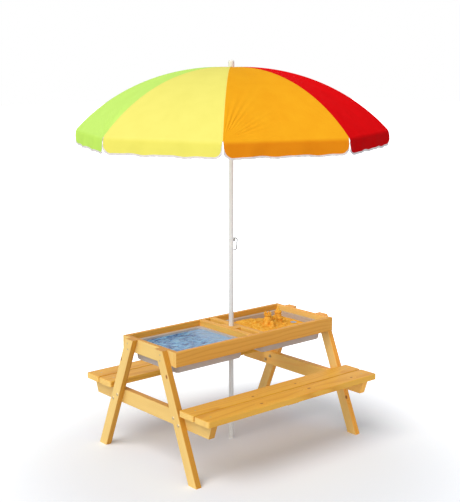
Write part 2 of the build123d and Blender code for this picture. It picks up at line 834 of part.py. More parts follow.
def make_canopy():
    """Eight panels in four colours; opposite panels share a colour."""
    gore = make_gore()
    parts = {}
    colours = ("yellow", "orange", "red", "lime")
    for index, colour in enumerate(colours):
        panels = []
        for half in range(2):
            turn = rib_azimuth_start + fold_slice / 2 + (index + half * len(colours)) * fold_slice
            panels.append(Rot(0, 0, turn) * gore)
        parts["canopy_" + colour + "_panels"] = Compound(children=panels)
    return parts


def make_ribs():
    """All ribs and stretchers, numbered round the pole."""
    rib = make_rib()
    stretcher = make_stretcher()
    parts = {}
    for index in range(rib_count):
        turn = Rot(0, 0, rib_azimuth_start + index * fold_slice)
        number = str(index + 1)
        parts["rib_" + number] = turn * rib
        parts["stretcher_" + number] = Compound(children=[turn * piece for piece in stretcher])
    return parts


def make_table():
    """Every piece of the table and the parasol, by name."""
    parts = make_frame()
    for side, side_name in side_names.items():
        parts[side_name + "_seat_beam"] = make_seat_beam(side)
        for row, row_name in row_names.items():
            parts[side_name + "_" + row_name + "_leg"] = make_leg(side, row)
    for middle_y, name in plank_rows():
        parts[name] = make_plank(middle_y)
    for row, row_name in row_names.items():
        parts[row_name + "_bench_batten"] = make_batten(row)
    for group in (make_fasteners, make_tubs, make_pole, make_lock, make_hubs, make_ribs, make_canopy):
        parts.update(group())
    return parts


os.makedirs("parts", exist_ok=True)
for name, shape in make_table().items():
    export_step(shape, "parts/" + name + ".step")

print("runner travel", round(runner_travel, 3), "pivot height", round(runner_pivot_height, 3))
print("rib pivot", round(rib_pivot[0], 3), round(rib_pivot[1], 3), "arc", round(rib_arc_radius, 1))
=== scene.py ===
# %% [markdown]
# # A child's picnic table with a water tub, a sand tub and a parasol
#
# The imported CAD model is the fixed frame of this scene. Its boards, tubs, pole, ribs and
# fasteners are shown as they are, with better surfaces. What CAD can't show well, such as
# cloth, water and sand, is modelled here and stands for the plain CAD solid.

import math

import bmesh
import bpy
from mathutils import Matrix, Vector, noise


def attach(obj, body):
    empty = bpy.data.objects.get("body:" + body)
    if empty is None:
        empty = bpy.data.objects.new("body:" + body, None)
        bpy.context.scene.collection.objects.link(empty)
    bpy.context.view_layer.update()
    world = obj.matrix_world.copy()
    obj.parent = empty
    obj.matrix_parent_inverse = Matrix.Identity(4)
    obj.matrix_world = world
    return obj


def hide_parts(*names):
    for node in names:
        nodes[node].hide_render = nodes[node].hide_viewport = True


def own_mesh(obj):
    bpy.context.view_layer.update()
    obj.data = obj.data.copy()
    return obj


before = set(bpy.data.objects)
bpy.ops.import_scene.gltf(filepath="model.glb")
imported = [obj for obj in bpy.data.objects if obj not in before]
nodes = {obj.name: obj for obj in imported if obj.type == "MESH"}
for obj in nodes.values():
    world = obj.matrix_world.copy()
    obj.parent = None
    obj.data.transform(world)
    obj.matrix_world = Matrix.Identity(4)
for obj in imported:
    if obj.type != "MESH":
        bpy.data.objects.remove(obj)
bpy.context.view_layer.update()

# %% [markdown]
# ## The camera
#
# A product photograph is usually taken with a long lens from a little above. The place and
# the turn of this camera were found by matching corners of the table with their places in
# the picture. With Blender's sensor on the picture's long side, a longer lens is a larger
# number of pixels per unit of slope.

# %% Camera
PICTURE_LONG_SIDE = 502
FOCAL_PIXELS = 1030.36
SENSOR = 36.0

camera_data = bpy.data.cameras.new("camera")
camera_data.sensor_width = SENSOR
camera_data.lens = FOCAL_PIXELS * SENSOR / PICTURE_LONG_SIDE
camera = bpy.data.objects.new("camera", camera_data)
bpy.context.scene.collection.objects.link(camera)
camera.location = (-2.8768, -3.3497, 1.6799)
camera.rotation_euler = (math.radians(90 - 10.571), 0, math.radians(-40.588))
bpy.context.scene.camera = camera
print("lens", round(camera_data.lens, 2), "mm")

# %% [markdown]
# ## Helpers for meshes and node materials
#
# A colour is written as it looks on screen, in the three numbers from 0 to 255 that
# paint programs show. Blender's shaders work with linear light, so each is converted once.

# %% Small helpers
WHITE = (1, 1, 1, 1)
BLACK = (0, 0, 0, 1)
SHARP = math.radians(50)


def screen_colour(red, green, blue):
    """Linear RGBA of a colour as a paint program shows it."""
    linear = []
    for value in (red, green, blue):
        share = value / 255
        if share <= 0.04045:
            linear.append(share / 12.92)
        else:
            linear.append(((share + 0.055) / 1.055) ** 2.4)
    return (*linear, 1.0)


def darker(colour, share):
    """A colour with only a share of its light."""
    return (*[part * share for part in colour[:3]], 1)


def new_material(name):
    """A node material, as (material, tree, shader)."""
    material = bpy.data.materials.new(name)
    material.use_nodes = True
    tree = material.node_tree
    return material, tree, tree.nodes["Principled BSDF"]


def feed(tree, value, target):
    """Join a socket to another one, or give it a number or a colour."""
    if hasattr(value, "is_output"):
        tree.links.new(value, target)
    else:
        target.default_value = value


def add_node(tree, kind, **values):
    """A new shader node, its inputs fed by name."""
    node = tree.nodes.new("ShaderNode" + kind)
    for name, value in values.items():
        feed(tree, value, node.inputs[name.replace("_", " ")])
    return node


def surface(tree, shader, colour, roughness, mirror=0.5):
    """The shader's colour, how dull it is and how strongly it mirrors."""
    feed(tree, colour, shader.inputs["Base Color"])
    feed(tree, roughness, shader.inputs["Roughness"])
    feed(tree, mirror, shader.inputs["Specular IOR Level"])


def math_node(tree, operation, *values):
    """A Math node fed by sockets or by numbers; returns its result."""
    node = add_node(tree, "Math")
    node.operation = operation
    for socket, value in zip(node.inputs, values):
        feed(tree, value, socket)
    return node.outputs[0]


def mapped(tree, source, location=(0, 0, 0), rotation=(0, 0, 0), scale=(1, 1, 1)):
    """Coordinates moved, turned and scaled; returns the vector."""
    given = {"Vector": source, "Location": location, "Rotation": rotation, "Scale": scale}
    return add_node(tree, "Mapping", **given).outputs[0]


def eased(tree, value, start, end, low=0.0, high=1.0):
    """A number that goes softly from low to high while another goes from start to end."""
    ranges = {"From_Min": start, "From_Max": end, "To_Min": low, "To_Max": high}
    node = add_node(tree, "MapRange", Value=value, **ranges)
    node.interpolation_type = "SMOOTHSTEP"
    return node.outputs[0]


def distance_from(tree, place, point=(0, 0, 0)):
    """How far a place is from a point."""
    node = add_node(tree, "VectorMath")
    node.operation = "DISTANCE"
    feed(tree, place, node.inputs[0])
    feed(tree, point, node.inputs[1])
    return node.outputs["Value"]


def parts_of(tree, vector):
    """The X, Y and Z of a vector, as sockets by name."""
    return add_node(tree, "SeparateXYZ", Vector=vector).outputs


def stripes(tree, value, spacing):
    """A wave between -1 and 1 that repeats after a spacing."""
    return math_node(tree, "SINE", math_node(tree, "MULTIPLY", value, 2 * math.pi / spacing))


def noise_of(tree, vector, scale, detail=2.0, roughness=0.5):
    """A noise value from 0 to 1 on a vector."""
    given = {"Vector": vector, "Scale": scale, "Detail": detail, "Roughness": roughness}
    return add_node(tree, "TexNoise", **given).outputs["Fac"]


def ramp(tree, value, stops):
    """A colour ramp from (position, colour) stops; returns the colour."""
    node = add_node(tree, "ValToRGB", Fac=value)
    elements = node.color_ramp.elements
    while len(elements) < len(stops):
        elements.new(0.5)
    for element, (position, colour) in zip(elements, stops):
        element.position = position
        element.color = colour
    return node.outputs["Color"]


def mixed(tree, factor, first, second, blend="MIX"):
    """Two colours mixed; each input is a socket, a colour or a number."""
    node = add_node(tree, "Mix")
    node.data_type = "RGBA"
    node.blend_type = blend
    for index, value in ((0, factor), (6, first), (7, second)):
        feed(tree, value, node.inputs[index])
    return node.outputs[2]


def bumped(tree, shader, height, strength, distance):
    """A Bump node from a height to the shader's normal."""
    node = add_node(tree, "Bump", Height=height, Strength=strength, Distance=distance)
    feed(tree, node.outputs[0], shader.inputs["Normal"])


def object_coordinates(tree):
    """The piece's own place in metres."""
    return add_node(tree, "TexCoord").outputs["Object"]


def cloth_coordinates(tree):
    """The place on the flat cloth in metres, from the UV map."""
    node = add_node(tree, "UVMap")
    node.uv_map = "cloth"
    return node.outputs[0]


def dress(names, material):
    """Give CAD nodes one material."""
    for name in names:
        data = nodes[name].data
        data.materials.clear()
        data.materials.append(material)


def finished(mesh, name, material):
    """Turn a bmesh into a linked object at the origin."""
    data = bpy.data.meshes.new(name)
    mesh.to_mesh(data)
    mesh.free()
    data.materials.append(material)
    data.shade_smooth()
    data.set_sharp_from_angle(angle=SHARP)
    piece = bpy.data.objects.new(name, data)
    bpy.context.scene.collection.objects.link(piece)
    return piece


print("helpers ready")

# %% [markdown]
# ## Light and floor
#
# The object stands in a studio that looks white and lights everything evenly. A wide sun,
# half way up on the left, makes the soft shadow on the right, and a wider, weaker one
# from the front fills the shaded sides. Suns are used and not near lamps, because they
# light the floor as strongly far away as they do here. The sky is a little blue and the
# suns a little warm, so that shadows stay grey beside warm wood. The floor adds a little
# light of its own for the camera alone, more with distance, so that its far edge is lost
# in the white and the table's shadow still shows.

# %% World, sun and floor
WORLD_LIGHT = 0.43
SKY_TINT = (0.91, 1.0, 1.13, 1)
SUN_TINT = (1.06, 1.0, 0.91)
# each lamp: share of the floor's light, elevation, azimuth and width in degrees
LAMPS = {
    "wide_sun": (0.46, 51, 188, 42),
    "front_fill": (0.09, 18, 228, 70),
}

FLOOR_COLOUR = (0.86, 0.894, 0.95, 1)
FLOOR_SIZE = 30
# the floor's own light: the place without it, and where it starts and is full
GLOW_MIDDLE = (-0.2, -0.3, 0)
GLOW_START = 0.5
GLOW_FULL = 2.4

bpy.context.scene.view_settings.view_transform = "Standard"

world = bpy.data.worlds.new("studio")
world.use_nodes = True
bpy.context.scene.world = world
tree = world.node_tree
tree.nodes.clear()
rays = add_node(tree, "LightPath").outputs
seen = math_node(tree, "MAXIMUM", rays["Is Camera Ray"], rays["Is Transmission Ray"])
mirrored = math_node(tree, "MAXIMUM", rays["Is Glossy Ray"], seen)
tint = mixed(tree, mirrored, SKY_TINT, WHITE)
strength = eased(tree, mirrored, 0.0, 1.0, WORLD_LIGHT, 1.0)
sky = add_node(tree, "Background", Color=tint, Strength=strength)
add_node(tree, "OutputWorld", Surface=sky.outputs[0])

for lamp_name, (share, elevation, azimuth, width) in LAMPS.items():
    elevation, azimuth = math.radians(elevation), math.radians(azimuth)
    lamp_data = bpy.data.lights.new(lamp_name, "SUN")
    lamp_data.energy = share * math.pi / math.sin(elevation)
    lamp_data.angle = math.radians(width)
    lamp_data.color = SUN_TINT
    lamp = bpy.data.objects.new(lamp_name, lamp_data)
    bpy.context.scene.collection.objects.link(lamp)
    level = math.cos(elevation)
    towards = Vector((math.cos(azimuth) * level, math.sin(azimuth) * level, math.sin(elevation)))
    lamp.rotation_euler = towards.to_track_quat("Z", "Y").to_euler()

floor_mesh = bmesh.new()
bmesh.ops.create_grid(floor_mesh, x_segments=1, y_segments=1, size=FLOOR_SIZE)
floor_material, tree, shader = new_material("studio floor")
surface(tree, shader, FLOOR_COLOUR, 0.9, 0.0)
feed(tree, WHITE, shader.inputs["Emission Color"])
away = distance_from(tree, object_coordinates(tree), GLOW_MIDDLE)
camera_ray = add_node(tree, "LightPath").outputs["Is Camera Ray"]
glow = math_node(tree, "MULTIPLY", camera_ray, eased(tree, away, GLOW_START, GLOW_FULL))
feed(tree, glow, shader.inputs["Emission Strength"])
floor = finished(floor_mesh, "floor", floor_material)
print("world, sun and floor made")

# %% [markdown]
# ## Varnished pine
#
# Pine has wide pale growth rings with thin darker lines, and knots where branches grew.
# A board is a straight cut through those rings, so the pattern is made the same way: the
# distance from a line beside the board is a tree's radius, a slow noise bends it, and its
# fraction draws one ring after another. Ends of boards then show curved rings by
# themselves. Each board gets its own line, so that no two boards look alike.

# %% Pine material
RING_SPACING = 0.0062
RING_BEND = 0.034
KNOT_BULGE = 2.2 * RING_SPACING
VARNISH_ROUGHNESS = 0.45
KNOT_HEART = screen_colour(150, 82, 26)
PAINTED_LIGHT_TINT = screen_colour(247, 219, 142)


def pine(name, grain, pale, dark, pith, knots=(), lean=0.0, painted_light_share=0.5):
    """Pine whose grain runs along X, Y or Z, or leans from Z in the YZ plane, with painted light
    on faces along X.
    """
    material, tree, shader = new_material(name)
    place = object_coordinates(tree)
    turns = {"x": (0, 0, 0), "y": (0, 0, math.radians(-90)), "z": (0, math.radians(90), 0)}
    if lean:
        place = mapped(tree, place, rotation=(lean, 0, 0))
    along = mapped(tree, place, rotation=turns[grain])

    # the radius from the pith, bent by slow noise that is long along the grain
    slow = noise_of(tree, mapped(tree, along, location=pith, scale=(1.3, 7, 7)), 1.0, 2.0)
    from_pith = distance_from(tree, mapped(tree, along, location=pith, scale=(0, 1, 1)))
    radius = math_node(tree, "ADD", from_pith, math_node(tree, "MULTIPLY", slow, RING_BEND))

    # knots: a dark heart, and rings that swell round it
    knot_mask = None
    for x, y, z, size in knots:
        centred = mapped(tree, object_coordinates(tree), location=(-x, -y, -z))
        if lean:
            centred = mapped(tree, centred, rotation=(lean, 0, 0))
        centred = mapped(tree, centred, rotation=turns[grain])
        centred = mapped(tree, centred, scale=(0.62 / size, 1 / size, 1 / size))
        from_knot = distance_from(tree, centred)
        near = eased(tree, from_knot, 1.5, 0.6)
        radius = math_node(tree, "ADD", radius, eased(tree, from_knot, 5.0, 0.5, 0.0, KNOT_BULGE))
        knot_mask = near if knot_mask is None else math_node(tree, "MAXIMUM", knot_mask, near)

    ring = math_node(tree, "FRACT", math_node(tree, "DIVIDE", radius, RING_SPACING))
    colour = ramp(tree, ring, [(0.0, pale), (0.5, pale), (0.86, dark), (1.0, pale)])

    # painted light: faces that look along X, the way the sun shines from the left, are painted
    # paler
    facing = parts_of(tree, add_node(tree, "NewGeometry").outputs["True Normal"])
    sideways = math_node(tree, "ABSOLUTE", facing["X"])
    painted_light = math_node(tree, "MULTIPLY", sideways, painted_light_share)
    colour = mixed(tree, painted_light, colour, PAINTED_LIGHT_TINT)

    # fine fibres, long along the grain, and slow changes along a board
    fibre = noise_of(tree, mapped(tree, along, scale=(9, 420, 420)), 1.0, 3.0, 0.6)
    fibre_tone = ramp(tree, fibre, [(0.25, (0.88, 0.84, 0.76, 1)), (0.7, WHITE)])
    colour = mixed(tree, 0.6, colour, fibre_tone, "MULTIPLY")
    broad = noise_of(tree, mapped(tree, along, location=pith, scale=(2.2, 22, 22)), 1.0, 1.0)
    broad_tone = ramp(tree, broad, [(0.3, (0.93, 0.88, 0.8, 1)), (0.7, WHITE)])
    colour = mixed(tree, 0.7, colour, broad_tone, "MULTIPLY")
    if knot_mask is not None:
        colour = mixed(tree, knot_mask, colour, KNOT_HEART)
    surface(tree, shader, colour, VARNISH_ROUGHNESS, 0.2)
    height = math_node(tree, "ADD", math_node(tree, "MULTIPLY", ring, 0.35), fibre)
    bumped(tree, shader, height, 0.25, 0.0004)
    return material


# Beside the pine's own tones: a darker copy, painted shade, for the left pieces the sun lights,
# and lighter copies, painted light, for pieces in shade on the right
PALE = screen_colour(232, 177, 71)
DARK = screen_colour(219, 156, 53)
PALE_RAIL = screen_colour(226, 168, 73)
DARK_RAIL = screen_colour(216, 153, 60)
PALE_PAINTED_SHADE = screen_colour(208, 152, 58)
DARK_PAINTED_SHADE = screen_colour(198, 134, 45)
PALE_PAINTED_LIGHT = screen_colour(250, 180, 76)
DARK_PAINTED_LIGHT = screen_colour(240, 158, 54)
PALE_PAINTED_MORE_LIGHT = screen_colour(255, 192, 86)
DARK_PAINTED_MORE_LIGHT = screen_colour(252, 178, 70)
print("pine from", [round(part, 3) for part in PALE], "to", [round(part, 3) for part in DARK])



def board(node, grain, pale, dark, pith, knots, lean=0.0, painted_light_share=0.5):
    """Give one board its own pine."""
    name = "pine " + node.replace("_", " ")
    dress([node], pine(name, grain, pale, dark, pith, knots, lean, painted_light_share))


# colours, the place of the pith and the knots (place and size) of each board
long_boards = {
    "front_rail": (PALE_RAIL, DARK_RAIL, (0.2, 0.05, -0.60), []),
    "back_rail": (PALE_RAIL, DARK_RAIL, (0.5, -0.31, -0.34), []),
    "front_bench_inner_plank": (
        PALE, DARK, (0.1, 0.33, -0.19),
        [(-0.143, -0.305, 0.303, 0.0042), (0.111, -0.295, 0.303, 0.0034)],
    ),
    "front_bench_outer_plank": (
        PALE, DARK, (0.7, 0.28, -0.27),
        [
            (-0.175, -0.394, 0.303, 0.0046),
            (0.110, -0.380, 0.303, 0.005),
            (0.358, -0.393, 0.303, 0.004),
        ],
    ),
    "back_bench_inner_plank": (PALE, DARK, (0.4, -0.22, -0.14), [(0.21, 0.27, 0.303, 0.005)]),
    "back_bench_outer_plank": (PALE, DARK, (0.9, -0.45, -0.22), [(-0.3, 0.41, 0.303, 0.004)]),
    "front_ledges": (PALE, DARK, (0.3, 0.2, -0.6), []),
    "back_ledges": (PALE, DARK, (0.6, -0.1, -0.55), []),
}
for name, (pale, dark, pith, knots) in long_boards.items():
    board(name, "x", pale, dark, pith, knots)

# along Y the first number runs with the grain, the second is minus the distance in X
# the end boards and seat beams take the painted shade and painted light copies
cross_boards = {
    "left_end_board": (PALE_PAINTED_SHADE, DARK_PAINTED_SHADE, (0.2, 0.39, -0.52), []),
    "right_end_board": (PALE_PAINTED_LIGHT, DARK_PAINTED_LIGHT, (0.5, -0.4, -0.41), []),
    "left_cross_rail": (PALE, DARK, (0.3, 0.1, -0.44), []),
    "right_cross_rail": (PALE, DARK, (0.8, -0.09, -0.56), []),
    "left_seat_beam": (PALE_PAINTED_SHADE, DARK_PAINTED_SHADE, (0.1, 0.36, -0.18), []),
    "right_seat_beam": (PALE_PAINTED_MORE_LIGHT, DARK_PAINTED_MORE_LIGHT, (0.6, -0.35, -0.31), [(0.45, -0.1, 0.24, 0.004)]),
    "front_bench_batten": (PALE, DARK, (0.4, 0.12, -0.2), []),
    "back_bench_batten": (PALE, DARK, (0.9, -0.1, -0.2), []),
}
# painted light: how much paler each board's faces along X are painted, more where the sun lights
# them
painted_light_shares = {"left_end_board": 0.72, "right_end_board": 0.7, "left_seat_beam": 0.62}
for name, (pale, dark, pith, knots) in cross_boards.items():
    board(name, "y", pale, dark, pith, knots, painted_light_share=painted_light_shares.get(name, 0.3))

dress(["pole_guide_block"], pine("pine guide block", "x", PALE, DARK, (0.1, 0.1, -0.4)))

# a leg spreads 0.216 m outwards from the table's top down to the floor
LEG_LEAN = math.atan2(0.216, 0.520)
legs = {
    "left_front_leg": (LEG_LEAN, (0.1, 0.52, 0.04), [(-0.478, -0.157, 0.42, 0.005)]),
    "left_back_leg": (-LEG_LEAN, (0.4, 0.41, -0.10), [(-0.478, 0.164, 0.423, 0.005)]),
    "right_front_leg": (LEG_LEAN, (0.7, -0.40, 0.06), [(0.455, -0.277, 0.161, 0.005)]),
    "right_back_leg": (-LEG_LEAN, (0.9, -0.52, -0.03), []),
}
for name, (lean, pith, knots) in legs.items():
    # painted shade on the sunlit left legs, painted light on the shaded right legs
    pale, dark = (PALE_PAINTED_SHADE, DARK_PAINTED_SHADE) if name.startswith("left") else (PALE_PAINTED_LIGHT, DARK_PAINTED_LIGHT)
    board(name, "z", pale, dark, pith, knots, lean, 0.7)
dress(["frame_dowels"], pine("beech dowels", "y", PALE, DARK, (0, 0.1, 0.1)))
print("pine boards", len(long_boards) + len(cross_boards) + len(legs) + 2)

# %% [markdown]
# ## Moulded plastic, painted steel and zinc
#
# The tubs are blow-moulded from light grey plastic with a fine dull texture. The pole is
# thin steel tube under white gloss paint. Screws and bolts are zinc plated.

# %% Plastic, paint and metal
def moulded_plastic(name, colour, roughness, grain):
    """Plastic with a fine moulded grain and faint unevenness of colour."""
    material, tree, shader = new_material(name)
    place = object_coordinates(tree)
    cloud = noise_of(tree, place, 9.0, 3.0)
    base = ramp(tree, cloud, [(0.3, darker(colour, 0.94)), (0.7, colour)])
    surface(tree, shader, base, roughness)
    bumped(tree, shader, noise_of(tree, place, 900.0, 2.0), grain, 0.0003)
    return material


def painted_steel(name, colour):
    """White gloss paint, a little uneven as on thin tube."""
    material, tree, shader = new_material(name)
    place = object_coordinates(tree)
    cloud = noise_of(tree, place, 30.0, 2.0)
    base = ramp(tree, cloud, [(0.3, darker(colour, 0.95)), (0.7, colour)])
    surface(tree, shader, base, 0.28)
    feed(tree, 0.3, shader.inputs["Coat Weight"])
    feed(tree, 0.12, shader.inputs["Coat Roughness"])
    bumped(tree, shader, noise_of(tree, place, 260.0, 2.0), 0.06, 0.0004)
    return material


def zinc(name, colour):
    """Zinc plate: metal with a patchy, slightly rough surface."""
    material, tree, shader = new_material(name)
    place = object_coordinates(tree)
    patch = noise_of(tree, place, 240.0, 3.0)
    base = ramp(tree, patch, [(0.35, darker(colour, 0.75)), (0.65, colour)])
    surface(tree, shader, base, math_node(tree, "MULTIPLY_ADD", patch, 0.2, 0.36))
    feed(tree, 1.0, shader.inputs["Metallic"])
    return material


tub_plastic = moulded_plastic("tub plastic", screen_colour(190, 181, 175), 0.5, 0.25)
white_plastic = moulded_plastic("white plastic", screen_colour(232, 231, 226), 0.35, 0.1)
ring_plastic = moulded_plastic("ring plastic", screen_colour(140, 140, 138), 0.4, 0.15)
pole_paint = painted_steel("pole paint", screen_colour(222, 222, 221))
rib_paint = painted_steel("rib paint", screen_colour(226, 226, 224))
zinc_plate = zinc("zinc plate", screen_colour(214, 192, 150))
pin_zinc = zinc("pin zinc", screen_colour(200, 200, 198))

dress(["left_tub", "right_tub"], tub_plastic)
dress(["pole_foot_plug", "pole_cap", "crown", "runner"], white_plastic)
dress(["pull_ring"], ring_plastic)
dress(["lower_pole", "upper_pole"], pole_paint)
dress([name for name in nodes if name.startswith(("rib_", "stretcher_"))], rib_paint)
dress(["wood_screws", "beam_bolts", "bolt_washers", "bolt_nuts"], zinc_plate)
dress(["lock_pin", "crown_pins"], pin_zinc)
print("plastic, paint and zinc ready")

# %% [markdown]
# ## The canopy's cloth
#
# Eight panels of coloured polyester are sewn together over eight ribs. Each panel has one
# half on each of two ribs, so each half rides on its own rib, and the parasol can fold. A
# half is cut across once more, because folding narrows it far less near the pole than at
# the rim. A grid is the start of each piece: one direction runs from the pole to the rim
# and down the hanging flap, the other from the rib to the panel's middle.

# %% Sizes of the canopy
RIBS = 8
FIRST_RIB = math.radians(1.7)
SLICE = math.radians(45)
HALF = SLICE / 2
CANOPY_RADIUS = 0.664
RIM_HEIGHT = 1.38498
TOP_HEIGHT = 1.645
ARC_RADIUS = 0.75198
POLE_HOLE = 0.0112
FLAP_DEPTH = 0.061
FLAP_CORNER = 0.034
FLAP_GAP = 0.0022
CLOTH = 0.0008

rim_out = CANOPY_RADIUS * math.cos(HALF)
half_width = rim_out * math.tan(HALF)
chord = math.dist((0, TOP_HEIGHT), (rim_out, RIM_HEIGHT))
reach = math.sqrt(ARC_RADIUS ** 2 - (chord / 2) ** 2)
arc_x = rim_out / 2 - reach * (TOP_HEIGHT - RIM_HEIGHT) / chord
arc_z = (TOP_HEIGHT + RIM_HEIGHT) / 2 - reach * rim_out / chord
top_angle = math.asin(-arc_x / ARC_RADIUS)
rim_angle = math.asin((rim_out - arc_x) / ARC_RADIUS)
panel_length = (rim_angle - top_angle) * ARC_RADIUS
print("panel length over its arc", round(panel_length, 4), "m")
print("slope at the rim", round(math.degrees(rim_angle), 1), "degrees")

# %% [markdown]
# Cloth pulled over a rib shows where it is tight. Near each rib's tip short folds fan out
# from the point where the corner is sewn down, the cloth sags a little between the ribs,
# and the free flap ripples more the lower it gets.

# %% Shape of a half panel
FOLDS_A_TURN = 41
FOLD_SLOPE = 0.0115
FOLD_START = 0.012
FOLD_REACH = 0.13
SEAM_EASE = 0.01
DEEP_FOLDS = 1.5
PLAIN_FOLDS = 0.28
tight_corners = {(5, 1), (1, 1), (3, -1)}
SAG = 0.004
UNEVEN = 0.0016
HEM_WAVE = 0.0019
HEM_QUICK_WAVE = 0.0009
FLAP_RIPPLE = 0.0024
RIPPLE_LENGTH = 0.254 / math.pi
BEND_DEPTH = 0.007


def fan_folds(along, across, lead, depth):
    """Height of the short folds that fan out from the corner at the rib's tip."""
    from_corner = math.hypot(along, across)
    if from_corner < 1e-6:
        return 0.0
    angle = math.atan2(across, along)
    rise = min(1.0, from_corner / FOLD_START)
    fade = rise / (1 + (from_corner / FOLD_REACH) ** 4)
    bend = 1.3 * math.sin(2.3 * angle + lead) + 5 * from_corner
    wave = math.sin(angle * FOLDS_A_TURN + bend)
    sharp = wave * (1 + 0.5 * math.sin(angle * 9 + lead))
    edge = min(1.0, across / SEAM_EASE)
    return depth * FOLD_SLOPE * from_corner * sharp * fade * edge


def half_panel_point(down, over, panel, side):
    """A point of the cloth: down runs from pole to rim, over from rib to middle."""
    out = max(rim_out * down, POLE_HOLE)
    angle = math.asin((out - arc_x) / ARC_RADIUS)
    height = arc_z + ARC_RADIUS * math.cos(angle)
    width = out * math.tan(HALF)
    sideways = width * (1 - over)
    from_rib = width * over
    left_to_rim = (rim_angle - angle) * ARC_RADIUS
    sag = SAG * math.sin(math.pi * min(1.0, down)) * math.sin(math.pi * over / 2) ** 2
    depth = DEEP_FOLDS if (panel, side) in tight_corners else PLAIN_FOLDS
    lift = fan_folds(left_to_rim, from_rib, panel * 2 + side, depth) - sag
    free = math.sin(math.pi * over / 2) * down
    lift += UNEVEN * noise.noise(Vector((out * 5, sideways * side * 5, panel * 3.7))) * free
    x, z = out + lift * math.sin(angle), height + lift * math.cos(angle)
    return x, sideways, z, left_to_rim


def hem_wave(sideways, panel, from_end):
    """How much lower the hem hangs at a place, as it was cut a little unevenly."""
    slow = HEM_WAVE * math.sin(sideways * 38 + panel * 1.3)
    quick = HEM_QUICK_WAVE * math.sin(sideways * 71 + panel * 2.1)
    return (slow + quick) * min(1.0, from_end / 0.03)


def flap_point(fall, over, panel, side):
    """A point of the hanging flap: fall runs from 0 at the crease to 1 at the hem."""
    free = half_width - FLAP_GAP
    sideways = free * (1 - over)
    depth = FLAP_DEPTH
    from_end = free * over
    if from_end < FLAP_CORNER:
        inward = FLAP_CORNER - from_end
        depth = FLAP_DEPTH - FLAP_CORNER + math.sqrt(FLAP_CORNER ** 2 - inward ** 2)
    down = fall * (depth + hem_wave(sideways * side, panel, from_end))
    place = sideways * side / RIPPLE_LENGTH
    wave = math.sin(place * 2.6 + panel * 1.7) + 0.5 * math.sin(place * 5.3 + panel * 0.9)
    ripple = FLAP_RIPPLE * wave * fall ** 1.3
    bend = BEND_DEPTH / math.tan(rim_angle) * (1 - math.exp(-down / BEND_DEPTH))
    return rim_out + bend + ripple, sideways, RIM_HEIGHT - down, -down


print("rim is", round(rim_out, 4), "m out and", round(half_width * 2, 4), "m wide")

# %% Cloth material
THREAD = 0.0016
STITCH = 0.004
STITCH_WIDTH = 0.0006
SEAM_TO_STITCHES = 0.006


def canopy_cloth(name, colour, shade, painted_flap_shade):
    """Plain-woven polyester: crossed threads from the UV map, stitched seams and painted shade on
    the flap.
    """
    material, tree, shader = new_material(name)
    flat = cloth_coordinates(tree)
    split = parts_of(tree, flat)
    warp = stripes(tree, split["X"], THREAD)
    weave = math_node(tree, "MULTIPLY", warp, stripes(tree, split["Y"], THREAD))
    base = ramp(tree, noise_of(tree, flat, 14.0, 3.0), [(0.3, shade), (0.65, colour)])
    # a row of stitches runs beside the rib seam, on both sides of it
    from_row = math_node(tree, "SUBTRACT", split["X"], SEAM_TO_STITCHES)
    on_row = math_node(tree, "LESS_THAN", math_node(tree, "ABSOLUTE", from_row), STITCH_WIDTH)
    dash = math_node(tree, "GREATER_THAN", stripes(tree, split["Y"], STITCH), -0.2)
    stitch = math_node(tree, "MULTIPLY", on_row, dash)
    base = mixed(tree, math_node(tree, "MULTIPLY", stitch, 0.6), base, darker(colour, 0.72))
    # painted shade: the hanging flap is painted darker, by a share for each colour
    painted_flap_mask = eased(tree, split["Y"], 0.004, -0.016)
    base = mixed(tree, painted_flap_mask, base, (*painted_flap_shade, 1), "MULTIPLY")
    surface(tree, shader, base, 0.85, 0.02)
    height = math_node(tree, "ADD", weave, math_node(tree, "MULTIPLY", stitch, 3.0))
    bumped(tree, shader, height, 0.12, 0.0002)
    return material


# the cloth's bright and shaded tones, and the share of light that the flap's painted shade leaves
cloth_colours = {
    "yellow": ((230, 222, 114), (227, 219, 110), (0.97, 0.96, 0.76)),
    "orange": ((237, 167, 30), (234, 161, 27), (0.88, 0.62, 0.58)),
    "red": ((233, 6, 12), (226, 4, 9), (0.68, 0.45, 0.45)),
    "lime": ((194, 232, 112), (191, 229, 108), (0.98, 0.99, 0.76)),
}
cloth_materials = {}
for colour_name, (bright, shade, painted_flap_shade) in cloth_colours.items():
    cloth_materials[colour_name] = canopy_cloth(
        colour_name + " canopy cloth", screen_colour(*bright), screen_colour(*shade), painted_flap_shade
    )
print("cloths", sorted(cloth_materials))

# %% [markdown]
# The grid comes from `create_grid`, and each of its points is moved to its place on the
# cloth. The grid's rows and columns then lie along the weave, so the same two numbers are
# kept as a UV map for threads and stitches. `solidify` gives the cloth its thickness, and
# its thin edges are marked sharp, so that two halves meet without a line between them.

# %% Make the half panels
CUT = 0.55
TOP_STEPS = 30
RIM_STEPS = 36
TIGHT_RIM_STEPS = 104
FLAP_STEPS = 14
OVER_STEPS = 48
TIGHT_OVER_STEPS = 84
# a power above 1 crowds the grid's rows towards the rib, the rim or the crease
OVER_POWER = 1.35
TOP_POWER = 0.9
RIM_POWER = 1.3
FLAP_POWER = 1.5
panel_colours = ("yellow", "orange", "red", "lime")


def keep_flat(mesh, flat):
    """Keep each point's place on the flat cloth as a UV map."""
    cloth_map = mesh.loops.layers.uv.new("cloth")
    for face in mesh.faces:
        for loop in face.loops:
            loop[cloth_map].uv = flat[loop.vert]


def face_towards(mesh, direction):
    """Turn all faces the same way, so that most of them look in a direction."""
    bmesh.ops.recalc_face_normals(mesh, faces=mesh.faces)
    if sum(face.normal.dot(direction) for face in mesh.faces) < 0:
        bmesh.ops.reverse_faces(mesh, faces=mesh.faces)


def rib_azimuth(number):
    """Azimuth of a rib, counted from 0."""
    return FIRST_RIB + number * SLICE


def panel_of(number, side):
    """Number of the panel on a rib's left (+1) or right (-1) side."""
    return (number if side > 0 else number - 1) % RIBS


